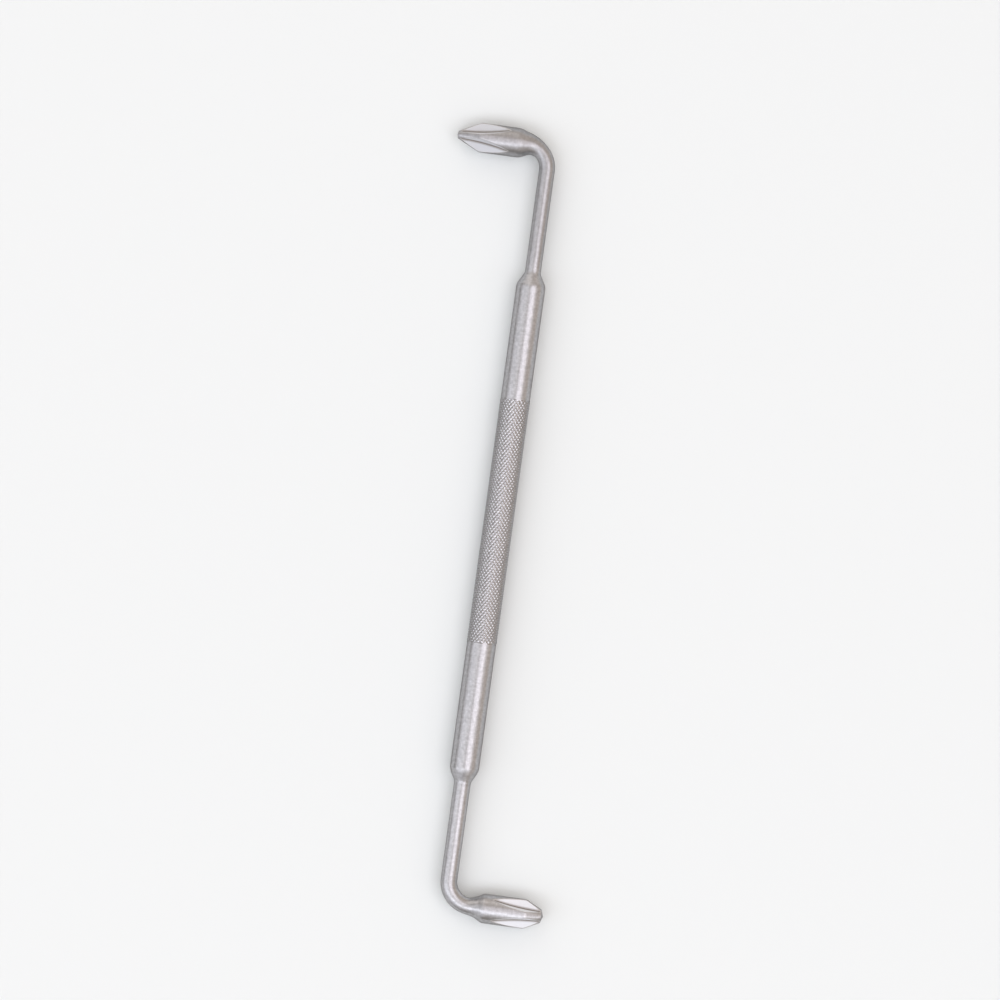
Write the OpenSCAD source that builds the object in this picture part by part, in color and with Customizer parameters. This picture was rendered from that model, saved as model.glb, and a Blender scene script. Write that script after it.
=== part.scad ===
// Offset screwdriver: one steel bar, bent square at both ends, with a cross tip on each head.
// The handle lies along Y and the tool lies flat in the XY plane. The origin is on the bar's
// axis, at the middle of the barrel. The No. 1 end is at +Y and its tip points to -X. The
// No. 2 end is at -Y and its tip points to +X. Sizes are in millimetres.

/* [Barrel] */
// Diameter of the plain barrel
barrel_d = 5; // [4:0.1:7]
// Length of plain barrel between the knurl and the No. 1 shoulder
plain_no1_len = 19.7; // [8:0.1:40]
// Length of plain barrel between the knurl and the No. 2 shoulder
plain_no2_len = 21.8; // [8:0.1:40]
// Length of the conical shoulder between barrel and neck
shoulder_len = 2.4; // [1.5:0.1:6]
// Length over which a shoulder runs out into its neck
shoulder_run_len = 0.8; // [0.2:0.1:1.2]

/* [Knurl] */
// Length of the knurled band
knurl_len = 42; // [20:0.5:56]
// Height of the diamonds' points above the plain barrel
knurl_rise = 0.075; // [0:0.005:0.15]
// Depth of the knurl from the diamonds' points to the bottom of the grooves
knurl_depth = 0.22; // [0.1:0.01:0.35]
// Number of grooves of one hand around the bar
knurl_starts = 24; // [16:1:30]
// Distance from one diamond to the next along the bar
knurl_pitch = 0.84; // [0.7:0.02:1.6]

/* [Necks] */
// Diameter of the No. 1 neck
neck_no1_d = 2.7; // [2:0.05:3.6]
// Diameter of the No. 2 neck
neck_no2_d = 2.85; // [2:0.05:3.6]
// Straight length of the No. 1 neck, from shoulder to bend
neck_no1_len = 17.35; // [6:0.05:40]
// Straight length of the No. 2 neck, from shoulder to bend
neck_no2_len = 16.35; // [6:0.05:40]

/* [Bends] */
// Radius of the No. 1 bend, at the middle of the neck
bend_no1_r = 4; // [3:0.1:8]
// Radius of the No. 2 bend, at the middle of the neck
bend_no2_r = 4.2; // [3:0.1:8]
// Length of the No. 1 flare, from neck diameter to head diameter
flare_no1_len = 5; // [1.5:0.1:6]
// Length of the No. 2 flare, from neck diameter to head diameter
flare_no2_len = 3; // [1.5:0.1:6]
// How far past the No. 1 bend its flare ends
flare_no1_end = 1.1; // [0.5:0.05:5]
// How far past the No. 2 bend its flare ends
flare_no2_end = 2.05; // [0.5:0.05:5]
// Curve of the flares: 1 is a straight cone, more is a softer start
flare_curve = 2; // [1:0.1:3]

/* [Heads] */
// Diameter of both heads, over the wings of the cross
head_d = 5.05; // [4.2:0.05:7]
// Length of the No. 1 head, from the end of the flare to the blunt end
head_no1_len = 10.85; // [8:0.05:20]
// Length of the No. 2 head, from the end of the flare to the blunt end
head_no2_len = 10.5; // [8:0.05:20]
// Plain round length of the No. 1 head before its flutes begin
land_no1_len = 1.9; // [0.5:0.1:3]
// Plain round length of the No. 2 head before its flutes begin
land_no2_len = 1.7; // [0.5:0.1:3]

/* [Cross tips] */
// Angle of the point, from the head's axis to the edge of a wing
point_angle = 26.5; // [22:0.5:32]
// Diameter of the No. 1 blunt end
tip_no1_d = 1.27; // [0.8:0.01:2]
// Diameter of the No. 2 blunt end
tip_no2_d = 2.29; // [1.5:0.01:3]
// Height of the shallow cone that closes the No. 1 blunt end
crown_no1_h = 0.15; // [0.05:0.05:0.4]
// Height of the shallow cone that closes the No. 2 blunt end
crown_no2_h = 0.4; // [0.05:0.05:0.8]
// Diameter inside the bottoms of the No. 1 flutes, where they are deepest
core_no1_d = 1.7; // [1:0.05:2.4]
// Diameter inside the bottoms of the No. 2 flutes, where they are deepest
core_no2_d = 2.3; // [1.4:0.05:3]
// Angle between the two walls of a flute
flute_angle = 115; // [92:1:125]

/* [Hidden] */

// Colours of the satin barrel, the rolled knurl and the ground tips
SATIN_CHROME = "#bdb8b6";
KNURLED_CHROME = "#b0a8a5";
GROUND_CHROME = "#dcdae0";

// Fineness of true circles, which keep their curve whatever this says
$fn = 64;

barrel_r = barrel_d / 2;
head_r = head_d / 2;
neck_no1_r = neck_no1_d / 2;
neck_no2_r = neck_no2_d / 2;

// Distances along the handle, from the middle of the barrel
barrel_half = (plain_no1_len + knurl_len + plain_no2_len) / 2;
shoulder_end = barrel_half + shoulder_len;
knurl_no1_end = barrel_half - plain_no1_len;
knurl_no2_end = barrel_half - plain_no2_len;
bend_no1_start = shoulder_end + neck_no1_len;
bend_no2_start = shoulder_end + neck_no2_len;

// The knurl is a grid of points around and along the bar. Crests and grooves take turns in both
// directions, so the grid is twice as fine as the diamonds.
crest_r = barrel_r + knurl_rise;
groove_r = crest_r - knurl_depth;
knurl_columns = 2 * knurl_starts;
knurl_levels = 2 * round(knurl_len / knurl_pitch);
knurl_level_h = knurl_len / knurl_levels;

// Steps of a swept bend: sides of its section, rings round the bare bend, rings along the flare
bend_sides = 40;
bend_rings = 18;
flare_rings = 10;

// How far a flute's cutter reaches past the metal that it cuts, and the fineness of its wheel
cut_over = 1;
wheel_fn = 240;

// Turns a shape that stands on Z so that it lies along the handle, towards +Y
module along_handle() {
    rotate([-90, 0, 0]) children();
}

// Turns the No. 1 end round to make the No. 2 end, at -Y with its tip towards +X
module at_no2_end() {
    rotate([0, 0, 180]) children();
}

// Plain barrel from the end of the knurl, with its shoulder coned down to the neck
module plain_barrel(start, neck_r) {
    run_start = shoulder_end - shoulder_run_len;
    cone_slope = (barrel_r - neck_r) / (shoulder_len - shoulder_run_len / 2);
    run_r = neck_r + cone_slope * shoulder_run_len / 2;
    run_steps = 6;
    // From the cone's slope to the neck's, along a parabola that is tangent to both
    run_out = [
        for (i = [0 : run_steps])
            let (t = i / run_steps)
            [neck_r + (run_r - neck_r) * pow(1 - t, 2), run_start + shoulder_run_len * t]
    ];
    along_handle() rotate_extrude() polygon(concat(
        [[0, start], [barrel_r, start], [barrel_r, barrel_half]],
        run_out,
        [[0, shoulder_end]]
    ));
}

// Thin straight neck, from the shoulder to the start of the bend
module straight_neck(neck_r, neck_len) {
    along_handle() translate([0, 0, shoulder_end]) cylinder(r = neck_r, h = neck_len);
}

// One diamond for every second point of the grid, as a pyramid of four triangles
module diamond_knurl() {
    function corner(i, j) = j * knurl_columns + i % knurl_columns;
    function is_crest(i, j) = (i + j) % 2 == 1;
    points = [
        for (j = [0 : knurl_levels], i = [0 : knurl_columns - 1])
            let (r = is_crest(i, j) ? crest_r : groove_r, turn = 360 * i / knurl_columns)
            [r * cos(turn), r * sin(turn), j * knurl_level_h]
    ];
    // Each square of the grid is split along the groove that crosses it
    walls = [
        for (j = [0 : knurl_levels - 1], i = [0 : knurl_columns - 1])
            let (a = corner(i, j), b = corner(i + 1, j), c = corner(i + 1, j + 1), d = corner(i, j + 1))
            each is_crest(i, j) ? [[a, d, b], [b, d, c]] : [[a, d, c], [a, c, b]]
    ];
    bottom = [for (i = [0 : knurl_columns - 1]) corner(i, 0)];
    top = [for (i = [knurl_columns - 1 : -1 : 0]) corner(i, knurl_levels)];
    polyhedron(points, concat(walls, [bottom, top]));
}

// Square bend at the +Y end, swept along its middle line, with the flare that opens to the head.
// The flare ends a set distance past the bend, and may begin inside it.
module flared_bend(start, neck_r, bend_r, flare_len, flare_end) {
    arc_len = bend_r * PI / 2;
    path_len = arc_len + flare_end;
    flare_start = path_len - flare_len;

    // Turn of the bar at a distance along the path, and the point of its middle line there
    function turn_at(s) = 90 * min(s / arc_len, 1);
    function middle_at(s) =
        let (past = max(s - arc_len, 0))
        [-bend_r + bend_r * cos(turn_at(s)) - past, start + bend_r * sin(turn_at(s)), 0];
    function radius_at(s) =
        neck_r + (head_r - neck_r) * pow(max(s - flare_start, 0) / flare_len, flare_curve);

    stations = concat(
        [for (i = [0 : bend_rings - 1]) flare_start * i / bend_rings],
        [for (i = [0 : flare_rings]) flare_start + flare_len * i / flare_rings]
    );
    last = len(stations) - 1;
    function corner(k, i) = k * bend_sides + i % bend_sides;
    points = [
        for (s = stations, i = [0 : bend_sides - 1])
            let (around = 360 * i / bend_sides, turn = turn_at(s), r = radius_at(s))
            middle_at(s) + r * [cos(around) * cos(turn), cos(around) * sin(turn), sin(around)]
    ];
    walls = [
        for (k = [0 : last - 1], i = [0 : bend_sides - 1])
            let (a = corner(k, i), b = corner(k, i + 1), c = corner(k + 1, i + 1), d = corner(k + 1, i))
            each [[a, b, c], [a, c, d]]
    ];
    near_end = [for (i = [bend_sides - 1 : -1 : 0]) corner(0, i)];
    far_end = [for (i = [0 : bend_sides - 1]) corner(last, i)];
    polyhedron(points, concat(walls, [near_end, far_end]));
}

// One flute of the cross, as the rim of a V-edged wheel leaves it. The wheel is deepest at the
// blunt end, and as large as it takes to run out on the head's round where the flute ends.
module flute(reach, flute_len, core_r) {
    deep = head_r - core_r;
    wheel_r = (flute_len * flute_len + deep * deep) / (2 * deep);
    rim = deep + cut_over;
    rim_half = rim * tan(flute_angle / 2);
    translate([core_r + wheel_r, 0, reach]) rotate([90, 0, 0]) rotate_extrude($fn = wheel_fn)
        polygon([[wheel_r, 0], [wheel_r - rim, rim_half], [wheel_r - rim, -rim_half]]);
}

// Head of the +Y end, on its own axis: a round land, four flutes, a coned point and a blunt end
module cross_head(axis_y, start, head_len, land_len, tip_d, crown_h, core_d) {
    tip_r = tip_d / 2;
    reach = start + head_len;
    point_end = reach - crown_h;
    point_start = point_end - (head_r - tip_r) / tan(point_angle);
    translate([0, axis_y, 0]) rotate([0, -90, 0]) difference() {
        rotate_extrude() polygon([
            [0, start], [head_r, start], [head_r, point_start], [tip_r, point_end], [0, reach]
        ]);
        for (quarter = [0 : 3])
            rotate([0, 0, 45 + 90 * quarter]) flute(reach, head_len - land_len, core_d / 2);
    }
}

module knurled_grip() {
    color(KNURLED_CHROME) translate([0, -knurl_no2_end, 0]) along_handle() diamond_knurl();
}

module barrel_no1() {
    color(SATIN_CHROME) plain_barrel(knurl_no1_end, neck_no1_r);
}

module barrel_no2() {
    color(SATIN_CHROME) at_no2_end() plain_barrel(knurl_no2_end, neck_no2_r);
}

module neck_no1() {
    color(SATIN_CHROME) straight_neck(neck_no1_r, neck_no1_len);
}

module neck_no2() {
    color(SATIN_CHROME) at_no2_end() straight_neck(neck_no2_r, neck_no2_len);
}

module bend_no1() {
    color(SATIN_CHROME)
        flared_bend(bend_no1_start, neck_no1_r, bend_no1_r, flare_no1_len, flare_no1_end);
}

module bend_no2() {
    color(SATIN_CHROME) at_no2_end()
        flared_bend(bend_no2_start, neck_no2_r, bend_no2_r, flare_no2_len, flare_no2_end);
}

module cross_tip_no1() {
    color(GROUND_CHROME) cross_head(
        bend_no1_start + bend_no1_r, bend_no1_r + flare_no1_end,
        head_no1_len, land_no1_len, tip_no1_d, crown_no1_h, core_no1_d
    );
}

module cross_tip_no2() {
    color(GROUND_CHROME) at_no2_end() cross_head(
        bend_no2_start + bend_no2_r, bend_no2_r + flare_no2_end,
        head_no2_len, land_no2_len, tip_no2_d, crown_no2_h, core_no2_d
    );
}

knurled_grip();
barrel_no1();
barrel_no2();
neck_no1();
neck_no2();
bend_no1();
bend_no2();
cross_tip_no1();
cross_tip_no2();
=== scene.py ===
# %% [markdown]
# # An offset screwdriver, dressed in Blender
# The tool is one steel bar in the shape of a Z. It has a knurled grip in the middle, a plain
# barrel on each side of the grip, two thin necks, two square bends, and a cross tip at each end.
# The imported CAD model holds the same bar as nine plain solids, and this lesson puts a finer piece
# in the place of each one. The model comes first, because it says where everything goes.

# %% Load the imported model
import math

import bmesh
import bpy
import numpy as np
from mathutils import Matrix, Vector


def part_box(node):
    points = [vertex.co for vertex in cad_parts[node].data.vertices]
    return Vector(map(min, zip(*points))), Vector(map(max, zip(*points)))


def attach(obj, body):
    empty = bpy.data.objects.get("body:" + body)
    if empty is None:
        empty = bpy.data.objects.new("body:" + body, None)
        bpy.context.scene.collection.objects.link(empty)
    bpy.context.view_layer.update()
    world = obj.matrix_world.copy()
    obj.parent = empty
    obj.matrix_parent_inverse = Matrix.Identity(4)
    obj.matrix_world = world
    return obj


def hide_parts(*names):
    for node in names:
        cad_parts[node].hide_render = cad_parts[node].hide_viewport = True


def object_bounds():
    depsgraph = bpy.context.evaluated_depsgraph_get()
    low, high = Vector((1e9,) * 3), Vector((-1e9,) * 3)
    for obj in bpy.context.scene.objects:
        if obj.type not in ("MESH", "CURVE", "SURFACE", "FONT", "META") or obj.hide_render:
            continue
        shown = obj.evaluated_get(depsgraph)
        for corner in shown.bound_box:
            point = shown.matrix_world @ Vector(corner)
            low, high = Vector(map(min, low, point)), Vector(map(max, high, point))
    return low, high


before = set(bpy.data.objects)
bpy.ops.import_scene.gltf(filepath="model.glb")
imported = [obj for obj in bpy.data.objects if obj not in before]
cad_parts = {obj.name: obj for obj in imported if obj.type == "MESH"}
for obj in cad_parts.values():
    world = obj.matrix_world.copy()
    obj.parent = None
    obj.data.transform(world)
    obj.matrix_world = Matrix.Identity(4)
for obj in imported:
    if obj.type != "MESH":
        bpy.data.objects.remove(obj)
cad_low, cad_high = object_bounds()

MM = 0.001
scene = bpy.context.scene
print("Solids in the frame:", ", ".join(sorted(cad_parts)))
print("CAD box in mm:", [round(size / MM, 2) for size in cad_high - cad_low])

# %% [markdown]
# ## Camera
# The tool is seen from straight above, a little turned, so its handle leans to the right. A long
# lens from far off keeps the two ends free of perspective. The distance follows from the lens:
# what the picture spans at the bar is to the distance as the sensor's width is to the lens.

# %% Camera above the tool
picture_span = 170.6 * MM
picture_middle = (-0.24 * MM, 4.70 * MM)
lean = math.radians(7.86)

camera_lens = bpy.data.cameras.new("long_lens")
camera_lens.sensor_width = 36
camera_lens.lens = 180
camera_lens.clip_start = 0.01
camera_lens.clip_end = 100
camera = bpy.data.objects.new("camera", camera_lens)
scene.collection.objects.link(camera)
camera_height = picture_span * camera_lens.lens / camera_lens.sensor_width
camera.location = (*picture_middle, camera_height)
camera.rotation_euler = (0, 0, lean)
scene.camera = camera
scene.view_settings.view_transform = "Standard"
print("Camera height in mm:", round(camera_height / MM))

# %% [markdown]
# ## A helper for node trees
# Every material, the air of the studio and the knurl are node trees. Written out call by call they
# would fill pages, so one short helper adds a node, sets its options, and fills its inputs. An
# input takes either a plain value or the output of another node, which is then linked.

# %% Add a node
def add_node(tree, kind, inputs=None, **options):
    node = tree.nodes.new(kind)
    for option, value in options.items():
        setattr(node, option, value)
    for socket, value in (inputs or {}).items():
        if isinstance(value, bpy.types.NodeSocket):
            tree.links.new(value, node.inputs[socket])
        else:
            node.inputs[socket].default_value = value
    return node


def math_node(tree, operation, *values):
    node = add_node(tree, "ShaderNodeMath", dict(enumerate(values)), operation=operation)
    return node.outputs[0]


def mix_colours(tree, share, first, second):
    # Inputs 6 and 7 and output 2 are the ones of a Mix node that hold colours
    inputs = {0: share, 6: first, 7: second}
    return add_node(tree, "ShaderNodeMix", inputs, data_type="RGBA").outputs[2]


print("Node helpers are ready: add_node, math_node, mix_colours")

# %% [markdown]
# ## Floor
# The tool lies on the points of its knurl, which stand a little proud of everything else. The
# floor is a plain pale sheet at that height, large enough to fill the picture from a low angle
# too.

# %% Pale floor
floor_half = 4.0
floor_mesh = bpy.data.meshes.new("floor")
corners = [(-1, -1), (1, -1), (1, 1), (-1, 1)]
floor_points = [(x * floor_half, y * floor_half, cad_low.z) for x, y in corners]
floor_mesh.from_pydata(floor_points, [], [(0, 1, 2, 3)])
floor = bpy.data.objects.new("floor", floor_mesh)
scene.collection.objects.link(floor)

floor_paint = bpy.data.materials.new("pale_floor")
floor_paint.use_nodes = True
floor_shader = floor_paint.node_tree.nodes["Principled BSDF"]
floor_shader.inputs["Base Color"].default_value = (0.725, 0.755, 0.755, 1)
floor_shader.inputs["Roughness"].default_value = 0.9
floor_shader.inputs["Specular IOR Level"].default_value = 0.1
floor_mesh.materials.append(floor_paint)
print("Floor at z in mm:", round(cad_low.z / MM, 3))

# %% [markdown]
# ## Light
# A satin bar shows its surroundings as soft bands, so the light is planned as what the bar
# reflects. A wide soft box on the left gives the broad cool band, and a narrower one on the right
# gives the bright streak. A long strip below lights the two heads and the lower flanks of the
# knurl's diamonds, which is what draws chevrons on the grip. Two low boxes, one above and one at the
# lower right, fill what would stay dull. Each is placed by how far it leans from straight overhead,
# and its glow is what a mirror would show.

# %% Soft boxes
box_distance = 3.0


def soft_box(name, right, up, wide, tall, glow, tint=(1, 1, 1)):
    lamp = bpy.data.lights.new(name, "AREA")
    lamp.shape = "RECTANGLE"
    lamp.size = 2 * box_distance * math.tan(math.radians(wide / 2))
    lamp.size_y = 2 * box_distance * math.tan(math.radians(tall / 2))
    lamp.energy = glow * math.pi * lamp.size * lamp.size_y
    lamp.color = tint
    box = bpy.data.objects.new(name, lamp)
    away = Vector((math.tan(math.radians(right)), math.tan(math.radians(up)), 1)).normalized()
    across = Vector((0, 1, 0)).cross(away).normalized()
    upward = away.cross(across)
    box.location = away * box_distance
    box.rotation_euler = Matrix((across, upward, away)).transposed().to_euler()
    scene.collection.objects.link(box)
    print(f"{name}: {lamp.size:.2f} x {lamp.size_y:.2f} m, glow {glow}")


soft_box("wide_box_left", right=-44, up=-25, wide=74, tall=87, glow=0.79, tint=(0.98, 1, 1.06))
soft_box("strip_box_right", right=22, up=3, wide=39, tall=40, glow=1.6, tint=(1.01, 1, 1.09))
soft_box("strip_box_below", right=-3, up=-26, wide=122, tall=21, glow=1.8, tint=(0.97, 1, 1.08))
soft_box("low_box_above", right=-46, up=62, wide=60, tall=40, glow=0.8)
soft_box("low_box_right", right=38, up=-60, wide=36, tall=24, glow=0.55)

# %% [markdown]
# ## Air of the studio
# What the soft boxes leave over is the room itself. It is a warm grey, dark towards the lower left
# and light towards the upper right, which gives one flank of the bar its dark edge.

# %% Room light
room = bpy.data.worlds.new("studio_room")
scene.world = room
room.use_nodes = True
room_tree = room.node_tree
room_tree.nodes.clear()
looking = add_node(room_tree, "ShaderNodeTexCoord")
toward_light_side = Vector((1.0, 0.74, -0.2))
side = add_node(
    room_tree, "ShaderNodeVectorMath",
    {0: looking.outputs["Generated"], 1: toward_light_side}, operation="DOT_PRODUCT",
)
room_shade = add_node(
    room_tree, "ShaderNodeMapRange",
    {"Value": side.outputs["Value"], "From Min": -1.0, "From Max": 1.0},
)
dark_side = (0.165, 0.139, 0.115, 1)
light_side = (0.83, 0.722, 0.634, 1)
room_colour = mix_colours(room_tree, room_shade.outputs["Result"], dark_side, light_side)
room_glow = add_node(room_tree, "ShaderNodeBackground", {"Color": room_colour})
add_node(room_tree, "ShaderNodeOutputWorld", {"Surface": room_glow.outputs[0]})
print("Room light has", len(room_tree.nodes), "nodes")

# %% [markdown]
# ## Parts of a finish
# Every finish on the bar is metal, with its own grain. Five small helpers keep the recipes short:
# one starts a metal, one reads a mark that the mesh carries, one lays noise with grains of a size in
# millimetres, one spreads a value between two limits, and one raises the surface by a depth in
# millimetres. Brushed metal smears its reflections one way, so a metal can also be given a stretch,
# along the direction that the mesh carries as axis. All patterns follow Object coordinates, which
# run on from piece to piece, so no pattern breaks where two pieces meet.

# %% Start a metal, read a mark, lay noise, spread a value, raise the surface
def start_metal(name, stretch=0.0):
    metal = bpy.data.materials.new(name)
    metal.use_nodes = True
    shader = metal.node_tree.nodes["Principled BSDF"]
    shader.inputs["Metallic"].default_value = 1
    shader.inputs["Specular Tint"].default_value = (0.45, 0.43, 0.41, 1)
    shader.inputs["Anisotropic"].default_value = stretch
    if stretch > 0:
        axis = add_node(metal.node_tree, "ShaderNodeAttribute", attribute_name="axis")
        metal.node_tree.links.new(axis.outputs["Vector"], shader.inputs["Tangent"])
    place = add_node(metal.node_tree, "ShaderNodeTexCoord").outputs["Object"]
    return metal, metal.node_tree, shader, place


def mark_on_mesh(tree, name):
    return add_node(tree, "ShaderNodeAttribute", attribute_name=name).outputs["Fac"]


def noise(tree, place, size, detail=2.0):
    inputs = {"Vector": place, "Scale": 1 / (size * MM), "Detail": detail}
    return add_node(tree, "ShaderNodeTexNoise", inputs).outputs[0]


def spread(tree, value, low, high, from_low=0.3, from_high=0.7):
    limits = {"From Min": from_low, "From Max": from_high, "To Min": low, "To Max": high}
    return add_node(tree, "ShaderNodeMapRange", {"Value": value, **limits}).outputs[0]


def raise_surface(tree, height, depth, over=None):
    inputs = {"Height": height, "Strength": 1.0, "Distance": depth * MM}
    if over is not None:
        inputs["Normal"] = over
    return add_node(tree, "ShaderNodeBump", inputs).outputs[0]


print("Finish helpers are ready: start_metal, mark_on_mesh, noise, spread, raise_surface")

# %% [markdown]
# ## Satin chrome
# The barrels, necks and bends are blasted with fine grit before plating, which leaves a soft
# pebbled gloss instead of a mirror. The grain is a fine noise in the surface and in the
# roughness, a larger mottle shifts the tone, and a slow wave keeps long reflections from running
# dead straight, as on any forged bar. Faint lines ring the bar where the lathe went round it. They
# follow the mark along, which counts millimetres along each piece. The No. 1 end is a little
# rougher, and its colour there is darkened as painted shade.

# %% Satin chrome
deep_satin = (0.395, 0.393, 0.404, 1)
pale_satin = (0.52, 0.517, 0.532, 1)
line_shade = (0.30, 0.29, 0.285, 1)
painted_shade_satin = (0.25, 0.245, 0.25, 1)
line_spacing = 0.16
rough_shade_from = 43 * MM
rough_shade_to = 48 * MM


def satin_surface(tree, place):
    grain = noise(tree, place, 0.12)
    mottle = noise(tree, place, 0.5)
    wave = noise(tree, place, 5.0, detail=1.0)
    lathe_lines = add_node(
        tree, "ShaderNodeTexNoise",
        {"W": mark_on_mesh(tree, "along"), "Scale": 1 / line_spacing, "Detail": 2.0},
        noise_dimensions="1D",
    ).outputs[0]
    colour = mix_colours(tree, spread(tree, mottle, 0, 1), deep_satin, pale_satin)
    colour = mix_colours(tree, spread(tree, lathe_lines, 0, 0.25, 0.5, 0.8), colour, line_shade)
    up_the_bar = add_node(tree, "ShaderNodeSeparateXYZ", {0: place}).outputs["Y"]
    # Towards the No. 1 end the roughness rises and the colour is darkened as painted shade
    rough_shaded_end = spread(tree, up_the_bar, 0, 0.27, rough_shade_from, rough_shade_to)
    colour = mix_colours(tree, rough_shaded_end, colour, painted_shade_satin)
    rough = math_node(tree, "MULTIPLY_ADD", rough_shaded_end, 0.15, spread(tree, grain, 0.33, 0.42))
    normal = raise_surface(tree, wave, 0.05)
    normal = raise_surface(tree, mottle, 0.006, normal)
    normal = raise_surface(tree, grain, 0.004, normal)
    return colour, rough, normal, rough_shaded_end


satin_chrome, tree, shader, place = start_metal("satin_chrome", stretch=0.6)
colour, rough, normal, rough_shaded_end = satin_surface(tree, place)
tree.links.new(colour, shader.inputs["Base Color"])
tree.links.new(rough, shader.inputs["Roughness"])
tree.links.new(normal, shader.inputs["Normal"])
print("satin_chrome has", len(tree.nodes), "nodes")

# %% [markdown]
# ## Ground chrome
# The heads are satin like the bar, but the four flutes of each cross are ground after forging and
# come out brighter and flatter. One material holds both: the mesh carries an attribute, flute,
# which is 1 on a ground wall and 0 elsewhere. A second attribute, edge, marks the rims of the
# wings, where screws rub the plating bright. A third, root, marks the bottom of each V, which is
# painted darker as shade. Towards the No. 1 end the ground walls are painted darker as shade too.
# The scratches run along a flute and smear its reflections across it, so on ground walls the
# stretch turns to that way.

# %% Ground chrome
ground_chrome, tree, shader, place = start_metal("ground_chrome", stretch=0.6)
satin, satin_rough, satin_normal, rough_shaded_end = satin_surface(tree, place)
deep_ground = (0.77, 0.785, 0.815, 1)
pale_ground = (0.83, 0.845, 0.875, 1)
painted_shade_ground = (0.32, 0.32, 0.34, 1)
painted_root_shade = (0.26, 0.23, 0.205, 1)
rubbed_edge = (0.58, 0.565, 0.56, 1)
scratch_length = (0.06, 1.0, 1.0)
flute_share = mark_on_mesh(tree, "flute")
along_wheel = add_node(tree, "ShaderNodeMapping", {"Vector": place, "Scale": scratch_length})
scratch = noise(tree, along_wheel.outputs[0], 0.09, detail=3.0)
ground = mix_colours(tree, spread(tree, scratch, 0, 1), deep_ground, pale_ground)
# Towards the No. 1 end the ground walls are darkened as painted shade
ground = mix_colours(tree, rough_shaded_end, ground, painted_shade_ground)
# The bottom of each V is painted darker as shade
ground = mix_colours(tree, mark_on_mesh(tree, "root"), ground, painted_root_shade)
colour = mix_colours(tree, flute_share, satin, ground)
colour = mix_colours(tree, mark_on_mesh(tree, "edge"), colour, rubbed_edge)
ground_rough = spread(tree, scratch, 0.60, 0.70)
rough_mix = add_node(tree, "ShaderNodeMix", {0: flute_share, 2: satin_rough, 3: ground_rough})
normal = raise_surface(tree, scratch, 0.0015, satin_normal)
tree.links.new(colour, shader.inputs["Base Color"])
tree.links.new(rough_mix.outputs[0], shader.inputs["Roughness"])
tree.links.new(normal, shader.inputs["Normal"])
print("ground_chrome has", len(tree.nodes), "nodes")

# %% [markdown]
# ## Knurled chrome
# A rolled knurl is pressed into the bar and plated with it. Hands polish the points of the
# diamonds glossier, and the grooves are painted darker as shade. The knurl's mesh carries an
# attribute, crest, that climbs from 0 in a groove to 1 on a point, and colour and gloss follow it.
# The painted shade leaves the grooves only a little darker than the points: it is the light on the
# flanks of the diamonds that makes a knurl sparkle.

# %% Knurled chrome
knurled_chrome, tree, shader, place = start_metal("knurled_chrome")
crest_share = mark_on_mesh(tree, "crest")
grain = noise(tree, place, 0.12)
specks = spread(tree, noise(tree, place, 0.6), 0, 1)
# The grooves are painted darker than the points as shade
painted_groove_shade = mix_colours(tree, specks, (0.28, 0.27, 0.265, 1), (0.33, 0.32, 0.315, 1))
bright = mix_colours(tree, specks, (0.365, 0.36, 0.37, 1), (0.435, 0.43, 0.44, 1))
out_of_groove_shade = spread(tree, crest_share, 0, 1, 0.0, 0.25)
colour = mix_colours(tree, out_of_groove_shade, painted_groove_shade, bright)
worn_rough = spread(tree, crest_share, 0.18, 0.16, 0, 1)
rough = math_node(tree, "ADD", worn_rough, spread(tree, grain, -0.03, 0.03))
normal = raise_surface(tree, grain, 0.003)
tree.links.new(colour, shader.inputs["Base Color"])
tree.links.new(rough, shader.inputs["Roughness"])
tree.links.new(normal, shader.inputs["Normal"])
print("knurled_chrome has", len(tree.nodes), "nodes")

# %% [markdown]
# ## A skin over rings
# All the smooth pieces are round in section, so each is described by a row of rings, and one
# helper lays quads from ring to ring. An end is closed with a flat face, or with a point where
# the last ring has no size. The flat ends keep sharp edges, so that the shading of the round side
# runs straight on into the next piece and no seam shows. Every point also gets the two marks that
# the finishes read: axis, the way its reflections stretch, and along, how far along the piece it is.

# %% Lay a skin over rings
around = np.linspace(0, 2 * math.pi, 128, endpoint=False)


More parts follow.
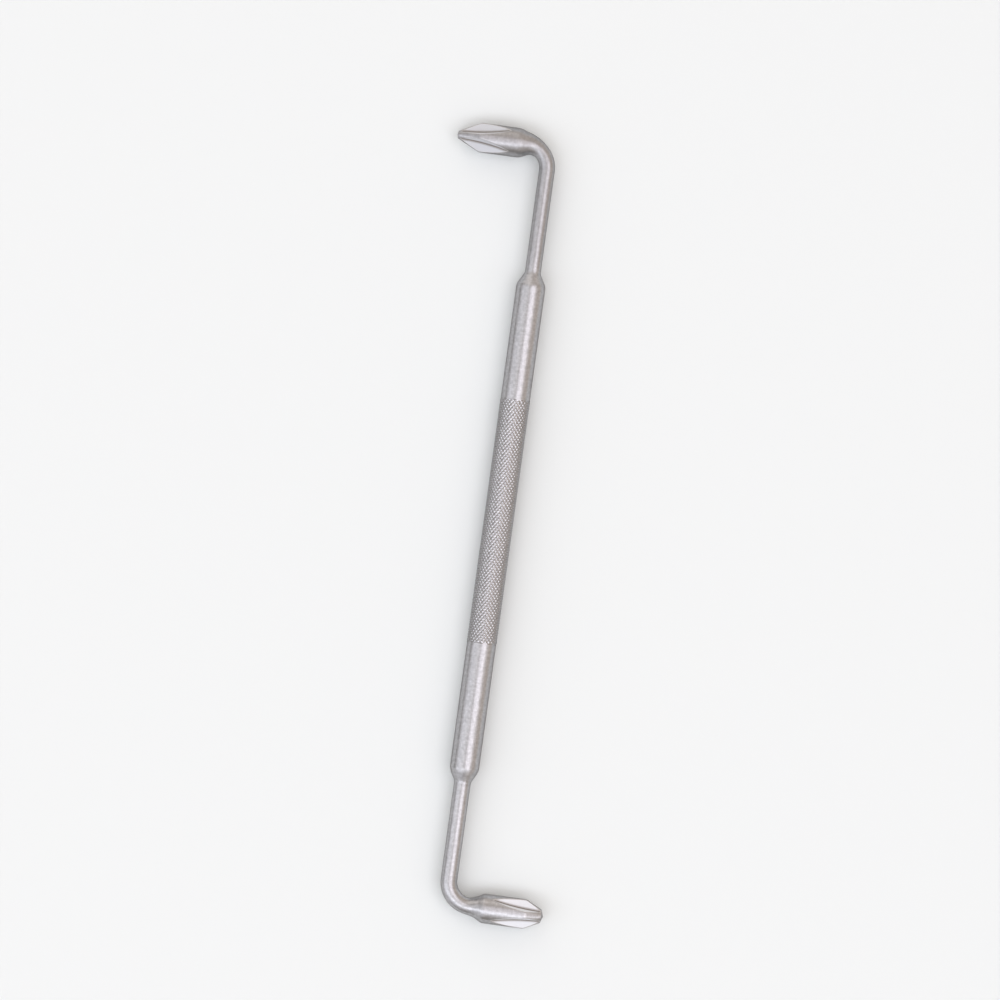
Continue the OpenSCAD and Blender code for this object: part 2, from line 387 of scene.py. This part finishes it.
def skin_of_rings(name, rings, finish, marks=None):
    shell = bmesh.new()
    middles = np.mean(rings, axis=1)
    axes = np.gradient(middles, axis=0)
    steps = np.linalg.norm(np.diff(middles, axis=0), axis=1)
    along = np.concatenate(((0,), np.cumsum(steps)))
    axis_layer = shell.verts.layers.float_vector.new("axis")
    along_layer = shell.verts.layers.float.new("along")
    layers = {mark: shell.verts.layers.float.new(mark) for mark in (marks or {})}
    loops = []
    for k, ring in enumerate(rings):
        loop = [shell.verts.new(point * MM) for point in ring]
        for i, vertex in enumerate(loop):
            is_ground = marks is not None and marks["flute"][k][i] > 0.5
            stretch_way = ring[i] - ring[i - 1] if is_ground else axes[k]
            vertex[axis_layer] = Vector(stretch_way).normalized()
            vertex[along_layer] = along[k]
        for mark, layer in layers.items():
            for vertex, value in zip(loop, marks[mark][k]):
                vertex[layer] = value
        loops.append(loop)
    for near, far in zip(loops, loops[1:]):
        for i in range(len(near)):
            shell.faces.new((near[i - 1], near[i], far[i], far[i - 1])).smooth = True
    for loop in (loops[0], loops[-1]):
        if (loop[0].co - loop[1].co).length > 1e-7:
            flat_end = shell.faces.new(loop)
            for edge in flat_end.edges:
                edge.smooth = False
    bmesh.ops.remove_doubles(shell, verts=loops[0] + loops[-1], dist=1e-7)
    bmesh.ops.recalc_face_normals(shell, faces=shell.faces)
    mesh = bpy.data.meshes.new(name)
    shell.to_mesh(mesh)
    shell.free()
    mesh.materials.append(finish)
    piece = bpy.data.objects.new(name, mesh)
    scene.collection.objects.link(piece)
    return piece


def half_turn(rings):
    # The No. 2 end is the No. 1 kind of end, turned half round about the Z axis
    return np.asarray(rings) * (-1, -1, 1)


print("Each ring of a round piece has", around.size, "points")

# %% [markdown]
# ## Taking a solid's place
# A finished piece stands for one CAD solid and rides on the bar, and the solid is hidden. This
# helper makes the three calls and prints how many triangles the piece has and how far its box is
# from the solid's, so that a slip in size shows at once.

# %% Take a solid's place
def take_place(piece, node):
    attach(piece, "root")
    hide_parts(node)
    solid_low, solid_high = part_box(node)
    points = np.array([vertex.co for vertex in piece.data.vertices])
    off = max(np.abs(points.min(0) - solid_low).max(), np.abs(points.max(0) - solid_high).max())
    triangles = sum(len(face.vertices) - 2 for face in piece.data.polygons)
    print(f"{piece.name}: {triangles} triangles, box within {off / MM:.3f} mm of {node}")


print("Solids to be replaced:", len(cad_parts))

# %% [markdown]
# ## Barrels and shoulders
# On each side of the knurl the bar stays plain for a while and is then turned down to the neck.
# The corner where the turning starts is a little rounded, and the cone runs out softly into the
# neck. A profile of radius over length says all of that, and a soft minimum rounds the corner: it
# takes the lower of two radii, and eases from one to the other where they are close.

# %% Both barrels
barrel_r = 2.5
barrel_half = 41.75
corner_from = 40.8
corner_ease = 0.3
shoulder_end = 44.15
shoulder_run = 0.8
knurl_end_no1 = 22.05
knurl_end_no2 = 19.95
neck_r_no1 = 1.35
neck_r_no2 = 1.425


def soft_min(a, b, ease):
    close = np.clip(1 - np.abs(a - b) / ease, 0, 1)
    return np.minimum(a, b) - close ** 2 * ease / 4


def shoulder_radius(y, neck_r):
    slope = (barrel_r - neck_r) / (shoulder_end - barrel_half - shoulder_run / 2)
    cone = barrel_r - slope * (y - barrel_half)
    left = np.clip(shoulder_end - y, 0, shoulder_run) / shoulder_run
    run_out = neck_r + slope * shoulder_run / 2 * left ** 2
    turned_down = np.where(y < shoulder_end - shoulder_run, cone, run_out)
    return soft_min(barrel_r, turned_down, corner_ease)


def turned_rings(y, r):
    circle = np.column_stack((np.sin(around), np.zeros(around.size), np.cos(around)))
    return [radius * circle + (0, at, 0) for at, radius in zip(y, r)]


def barrel_rings(start, neck_r):
    plain = np.linspace(start, corner_from, 24)
    shoulder = np.linspace(corner_from + 0.1, shoulder_end, 48)
    y = np.concatenate((plain, shoulder))
    return turned_rings(y, shoulder_radius(y, neck_r))


rings = barrel_rings(knurl_end_no1, neck_r_no1)
barrel_no1 = skin_of_rings("satin_barrel_no1", rings, satin_chrome)
rings = half_turn(barrel_rings(knurl_end_no2, neck_r_no2))
barrel_no2 = skin_of_rings("satin_barrel_no2", rings, satin_chrome)
take_place(barrel_no1, "barrel_no1")
take_place(barrel_no2, "barrel_no2")

# %% [markdown]
# ## Necks
# The necks are the thin straight lengths between a shoulder and a bend. They are simple enough to
# come from the same rings, and the slow wave of the satin finish does the rest.

# %% Both necks
bend_start_no1 = 61.5
bend_start_no2 = 60.5


def neck_rings(bend_start, neck_r):
    y = np.linspace(shoulder_end, bend_start, 24)
    return turned_rings(y, np.full(y.size, neck_r))


rings = neck_rings(bend_start_no1, neck_r_no1)
neck_no1 = skin_of_rings("satin_neck_no1", rings, satin_chrome)
rings = half_turn(neck_rings(bend_start_no2, neck_r_no2))
neck_no2 = skin_of_rings("satin_neck_no2", rings, satin_chrome)
take_place(neck_no1, "neck_no1")
take_place(neck_no2, "neck_no2")

# %% [markdown]
# ## Bends and flares
# At each end the neck turns square and swells back to the full diameter of the head. The bend is
# a sweep: rings set along an arc, each turned to face along it, with a radius that starts to grow
# somewhere on the way. The same growth is needed once more on the head, because the soft corner
# where the flare meets the head lies half on each side of the joint between the two pieces.

# %% Both bends
head_r = 2.525
flare_ease = 0.3
bend_r_no1, bend_r_no2 = 4.0, 4.2
flare_len_no1, flare_len_no2 = 5.0, 3.0
flare_end_no1, flare_end_no2 = 1.1, 2.05


def flare_radius(s, flare_start, flare_len, neck_r):
    grown = neck_r + (head_r - neck_r) * (np.clip(s - flare_start, 0, None) / flare_len) ** 2
    return soft_min(head_r, grown, flare_ease)


def bend_rings(bend_start, bend_r, neck_r, flare_len, flare_end):
    arc_len = bend_r * math.pi / 2
    flare_start = arc_len + flare_end - flare_len
    rings = []
    for s in np.linspace(0, arc_len + flare_end, 72):
        turn = min(s / bend_r, math.pi / 2)
        past = max(s - arc_len, 0)
        outward = np.array((math.cos(turn), math.sin(turn), 0))
        middle = bend_r * outward + (-bend_r - past, bend_start, 0)
        circle = np.outer(np.cos(around), outward) + np.outer(np.sin(around), (0, 0, 1))
        rings.append(middle + flare_radius(s, flare_start, flare_len, neck_r) * circle)
    return rings


rings = bend_rings(bend_start_no1, bend_r_no1, neck_r_no1, flare_len_no1, flare_end_no1)
bend_no1 = skin_of_rings("satin_bend_no1", rings, satin_chrome)
rings = bend_rings(bend_start_no2, bend_r_no2, neck_r_no2, flare_len_no2, flare_end_no2)
bend_no2 = skin_of_rings("satin_bend_no2", half_turn(rings), satin_chrome)
take_place(bend_no1, "bend_no1")
take_place(bend_no2, "bend_no2")

# %% [markdown]
# ## Cross tips
# A cross tip is a round head with a coned point and four flutes, each cut by the rim of a V-edged
# grinding wheel. A boolean could cut them, but it leaves sliver faces and knife edges. Here the
# radius of every point on the head is worked out instead: the lower of the round profile and the
# wheel's rim, eased together, so all edges come out slightly broken, as on a real tip.

# %% The wheel's rim, as a radius
flute_half_angle = math.radians(57.5)


def flute_radius(turn, back, flute_len, core_r):
    # Radius at which a ray from the head's axis meets the nearest wheel, `back` from the blunt end
    off = np.mod(turn, math.pi / 2) - math.pi / 4
    deep = head_r - core_r
    wheel_r = (flute_len ** 2 + deep ** 2) / (2 * deep)
    wheel_at = core_r + wheel_r
    bottom_round = 0.05
    rounded = np.sqrt(np.sin(off) ** 2 + bottom_round ** 2) - bottom_round
    side = rounded / math.tan(flute_half_angle)
    a = side ** 2 - np.cos(off) ** 2
    b = 2 * (wheel_at * np.cos(off) - wheel_r * side)
    c = wheel_r ** 2 - back ** 2 - wheel_at ** 2
    return (b - np.sqrt(np.clip(b ** 2 - 4 * a * c, 0, None))) / (-2 * a)


flute_bottom = flute_radius(math.pi / 4, back=0, flute_len=8.95, core_r=0.85)
print("Flute bottom at the No. 1 blunt end, mm:", round(float(flute_bottom), 3))

# %% [markdown]
# The round profile has three parts: the flare's soft corner at the start, the cone of the point,
# and the shallow crown that closes the blunt end. Rings stand close together all the way, so that
# the edges of the flutes come out clean. While the radii are at hand, the three marks that the
# finish needs are taken from them too.

# %% Both cross tips
point_angle = math.radians(26.5)
head_around = np.linspace(0, 2 * math.pi, 288, endpoint=False)
head_circle = np.column_stack(
    (np.zeros(head_around.size), np.sin(head_around), np.cos(head_around)),
)
point_ease = 0.15
edge_ease = 0.1
root_shade_width = 0.36
past_flute = 0.4


def cross_head(axis_y, start, head_len, land_len, tip_r, crown_h, core_r, neck_r, flare_len):
    reach = start + head_len
    point_end = reach - crown_h
    near_flare = np.linspace(start, start + 2, 40)
    near_point = np.linspace(start + 2, point_end, 180)[1:]
    body = np.concatenate((near_flare, near_point))
    cone = tip_r + (point_end - body) * math.tan(point_angle)
    flare = flare_radius(body - start + flare_len, 0, flare_len, neck_r)
    body_r = soft_min(flare, cone, point_ease)
    crown = np.linspace(0, 1, 10)[1:]
    at = np.concatenate((body, point_end + crown_h * crown))
    profile = np.concatenate((body_r, body_r[-1] * (1 - crown)))
    flute_len = head_len - land_len
    rings, flute, edge, root = [], [], [], []
    for a, r in zip(at, profile):
        back = min(reach - a, flute_len + past_flute)
        cut = flute_radius(head_around, back, flute_len, core_r)
        radius = soft_min(r, cut, edge_ease)
        rings.append(radius[:, None] * head_circle + (-a, axis_y, 0))
        flute.append(np.clip((r - cut) / edge_ease, 0, 1))
        edge.append(np.clip(1 - np.abs(r - cut) / edge_ease, 0, 1))
        # The root mark is where the bottom of each V is painted darker as shade
        from_root = np.abs(np.mod(head_around, math.pi / 2) - math.pi / 4) * cut
        root.append(np.clip(1 - from_root / root_shade_width, 0, 1))
    return rings, {"flute": flute, "edge": edge, "root": root}


rings, marks = cross_head(
    axis_y=65.5, start=5.1, head_len=10.85, land_len=1.9, tip_r=0.635, crown_h=0.15,
    core_r=0.85, neck_r=neck_r_no1, flare_len=flare_len_no1,
)
cross_tip_no1 = skin_of_rings("cross_tip_no1_ground", rings, ground_chrome, marks)
rings, marks = cross_head(
    axis_y=64.7, start=6.25, head_len=10.5, land_len=1.7, tip_r=1.145, crown_h=0.4,
    core_r=1.15, neck_r=neck_r_no2, flare_len=flare_len_no2,
)
cross_tip_no2 = skin_of_rings("cross_tip_no2_ground", half_turn(rings), ground_chrome, marks)
take_place(cross_tip_no1, "cross_tip_no1")
take_place(cross_tip_no2, "cross_tip_no2")

# %% [markdown]
# ## Diamond knurl
# Two sets of grooves cross on the grip, one of each hand, and leave a diamond between every four
# of them. The pattern is the same in each of its 24 turns round the bar, so Geometry Nodes shape
# one narrow strip by a rule and repeat it. The sizes are inputs of the tree, with names, and could
# be changed in the modifier panel.

# %% Inputs of the knurl tree
knurl_tree = bpy.data.node_groups.new("diamond_knurl", "GeometryNodeTree")
knurl_inputs = {
    "Starts": "Int", "Diamonds Along": "Int", "Steps": "Int",
    "Begin": "Float", "Length": "Float", "Barrel Radius": "Float", "Crest Radius": "Float",
    "Depth": "Float", "Run Out": "Float", "Finish": "Material",
}
knurl_sockets = {}
for socket_name, kind in knurl_inputs.items():
    socket = knurl_tree.interface.new_socket(
        socket_name, in_out="INPUT", socket_type="NodeSocket" + kind,
    )
    knurl_sockets[socket_name] = socket.identifier
knurl_tree.interface.new_socket("Geometry", in_out="OUTPUT", socket_type="NodeSocketGeometry")
size = add_node(knurl_tree, "NodeGroupInput").outputs


def knurl_math(operation, *values):
    return math_node(knurl_tree, operation, *values)


print("Knurl inputs:", ", ".join(knurl_sockets))

# %% [markdown]
# The strip begins as a flat grid, one start wide and as long as the grip. Counted in grooves, a
# point's distance from the nearest groove of one hand is the ping-pong of across plus along, and of
# the other hand, across minus along. The smaller of the two is the height of the diamond there.

# %% Height of the diamonds
turn = knurl_math("DIVIDE", 2 * math.pi, size["Starts"])
columns = knurl_math("ADD", size["Steps"], 1)
rows = knurl_math("MULTIPLY_ADD", size["Diamonds Along"], size["Steps"], 1)
flat_strip = add_node(
    knurl_tree, "GeometryNodeMeshGrid",
    {"Size X": turn, "Size Y": size["Length"], "Vertices X": columns, "Vertices Y": rows},
).outputs["Mesh"]
position = add_node(knurl_tree, "GeometryNodeInputPosition").outputs[0]
flat = add_node(knurl_tree, "ShaderNodeSeparateXYZ", {0: position}).outputs
from_begin = knurl_math("MULTIPLY_ADD", size["Length"], 0.5, flat["Y"])
across = knurl_math("DIVIDE", flat["X"], turn)
in_diamonds = knurl_math("MULTIPLY", from_begin, size["Diamonds Along"])
along = knurl_math("DIVIDE", in_diamonds, size["Length"])
from_left = knurl_math("PINGPONG", knurl_math("ADD", across, along), 0.5)
from_right = knurl_math("PINGPONG", knurl_math("SUBTRACT", across, along), 0.5)
ridge_ease = 0.05
crown_ease = 0.15
pyramid = knurl_math("SMOOTH_MIN", from_left, from_right, ridge_ease)
height = knurl_math("SMOOTH_MIN", knurl_math("MULTIPLY", pyramid, 2.0), 1.0, crown_ease)
print("Knurl tree has", len(knurl_tree.nodes), "nodes so far")

# %% [markdown]
# The strip is then wrapped round the bar at that height. At both ends the roller lifts off, so the
# diamonds run out to the plain barrel over a short length, and the band ends in a true circle.

# %% Wrap the strip
from_end = knurl_math("SUBTRACT", size["Length"], from_begin)
to_edge = knurl_math("DIVIDE", knurl_math("MINIMUM", from_begin, from_end), size["Run Out"])
pressed = add_node(
    knurl_tree, "ShaderNodeMapRange", {"Value": to_edge}, interpolation_type="SMOOTHSTEP",
).outputs[0]
groove_r = knurl_math("SUBTRACT", size["Crest Radius"], size["Depth"])
knurl_r = knurl_math("MULTIPLY_ADD", height, size["Depth"], groove_r)
barrel_to_knurl = {0: pressed, 2: size["Barrel Radius"], 3: knurl_r}
strip_r = add_node(knurl_tree, "ShaderNodeMix", barrel_to_knurl).outputs[0]
wrapped = add_node(knurl_tree, "ShaderNodeCombineXYZ", {
    "X": knurl_math("MULTIPLY", strip_r, knurl_math("SINE", flat["X"])),
    "Y": knurl_math("ADD", from_begin, size["Begin"]),
    "Z": knurl_math("MULTIPLY", strip_r, knurl_math("COSINE", flat["X"])),
}).outputs[0]
marked_strip = add_node(
    knurl_tree, "GeometryNodeStoreNamedAttribute",
    {"Geometry": flat_strip, "Name": "crest", "Value": height}, data_type="FLOAT", domain="POINT",
).outputs[0]
strip = add_node(
    knurl_tree, "GeometryNodeSetPosition", {"Geometry": marked_strip, "Position": wrapped},
).outputs[0]
print("Knurl tree has", len(knurl_tree.nodes), "nodes with the strip wrapped")

# %% [markdown]
# One point for each start carries a copy of the strip, turned one step further each time. Two discs
# close the ends. The copies are made real, stitched where they touch, and given their finish.

# %% Repeat the strip round the bar
points = add_node(
    knurl_tree, "GeometryNodeMeshLine", {"Count": size["Starts"], "Offset": (0, 0, 0)},
).outputs[0]
start_number = add_node(knurl_tree, "GeometryNodeInputIndex").outputs[0]
step_round = knurl_math("MULTIPLY", start_number, turn)
turned = add_node(knurl_tree, "ShaderNodeCombineXYZ", {"Y": step_round}).outputs[0]
strips = add_node(
    knurl_tree, "GeometryNodeInstanceOnPoints",
    {"Points": points, "Instance": strip, "Rotation": turned},
).outputs[0]
disc_sides = knurl_math("MULTIPLY", size["Starts"], size["Steps"])
disc = add_node(
    knurl_tree, "GeometryNodeMeshCircle",
    {"Vertices": disc_sides, "Radius": size["Barrel Radius"]}, fill_type="NGON",
).outputs[0]
finish_y = knurl_math("ADD", size["Begin"], size["Length"])
ends = [
    add_node(knurl_tree, "GeometryNodeTransform", {
        "Geometry": disc, "Rotation": (math.pi / 2, 0, 0),
        "Translation": add_node(knurl_tree, "ShaderNodeCombineXYZ", {"Y": end_y}).outputs[0],
    }).outputs[0]
    for end_y in (size["Begin"], finish_y)
]
whole = add_node(knurl_tree, "GeometryNodeJoinGeometry")
for part in (*ends, strips):
    knurl_tree.links.new(part, whole.inputs[0])
real = add_node(knurl_tree, "GeometryNodeRealizeInstances", {"Geometry": whole.outputs[0]})
stitch_reach = 0.002 * MM
stitched = add_node(
    knurl_tree, "GeometryNodeMergeByDistance",
    {"Geometry": real.outputs[0], "Distance": stitch_reach},
)
finished = add_node(
    knurl_tree, "GeometryNodeSetMaterial",
    {"Geometry": stitched.outputs[0], "Material": size["Finish"]},
)
add_node(knurl_tree, "NodeGroupOutput", {"Geometry": finished.outputs[0]})
print("Knurl tree has", len(knurl_tree.nodes), "nodes")

# %% [markdown]
# The tree now runs on an empty mesh. Its inputs are set by identifier before anything is evaluated,
# and the result is turned into a plain mesh. Each quad is split along its shorter diagonal, which is
# the one that follows a groove, so that grooves of both hands shade alike. The sides are shaded
# smooth, with sharp rims at the two flat ends.

# %% The knurled grip
seed = bpy.data.objects.new("knurl_seed", bpy.data.meshes.new("knurl_seed"))
scene.collection.objects.link(seed)
rule = seed.modifiers.new("knurl", "NODES")
rule.node_group = knurl_tree
knurl_sizes = {
    "Starts": 24, "Diamonds Along": 50, "Steps": 8,
    "Begin": -knurl_end_no2 * MM, "Length": (knurl_end_no1 + knurl_end_no2) * MM,
    "Barrel Radius": barrel_r * MM, "Crest Radius": 2.575 * MM,
    "Depth": 0.135 * MM, "Run Out": 0.35 * MM, "Finish": knurled_chrome,
}
for socket_name, value in knurl_sizes.items():
    rule[knurl_sockets[socket_name]] = value
depsgraph = bpy.context.evaluated_depsgraph_get()
grip_mesh = bpy.data.meshes.new_from_object(seed.evaluated_get(depsgraph))
bpy.data.objects.remove(seed)
grip_mesh.name = "knurled_grip_rolled"
shell = bmesh.new()
shell.from_mesh(grip_mesh)
quads = [face for face in shell.faces if len(face.verts) == 4]
bmesh.ops.triangulate(shell, faces=quads, quad_method="SHORT_EDGE")
bmesh.ops.recalc_face_normals(shell, faces=shell.faces)
for face in shell.faces:
    face.smooth = len(face.verts) == 3
    if not face.smooth:
        for edge in face.edges:
            edge.smooth = False
open_edges = sum(not edge.is_manifold for edge in shell.edges)
shell.to_mesh(grip_mesh)
shell.free()
knurled_grip = bpy.data.objects.new("knurled_grip_rolled", grip_mesh)
scene.collection.objects.link(knurled_grip)
take_place(knurled_grip, "knurled_grip")
print("Open edges on the grip:", open_edges)
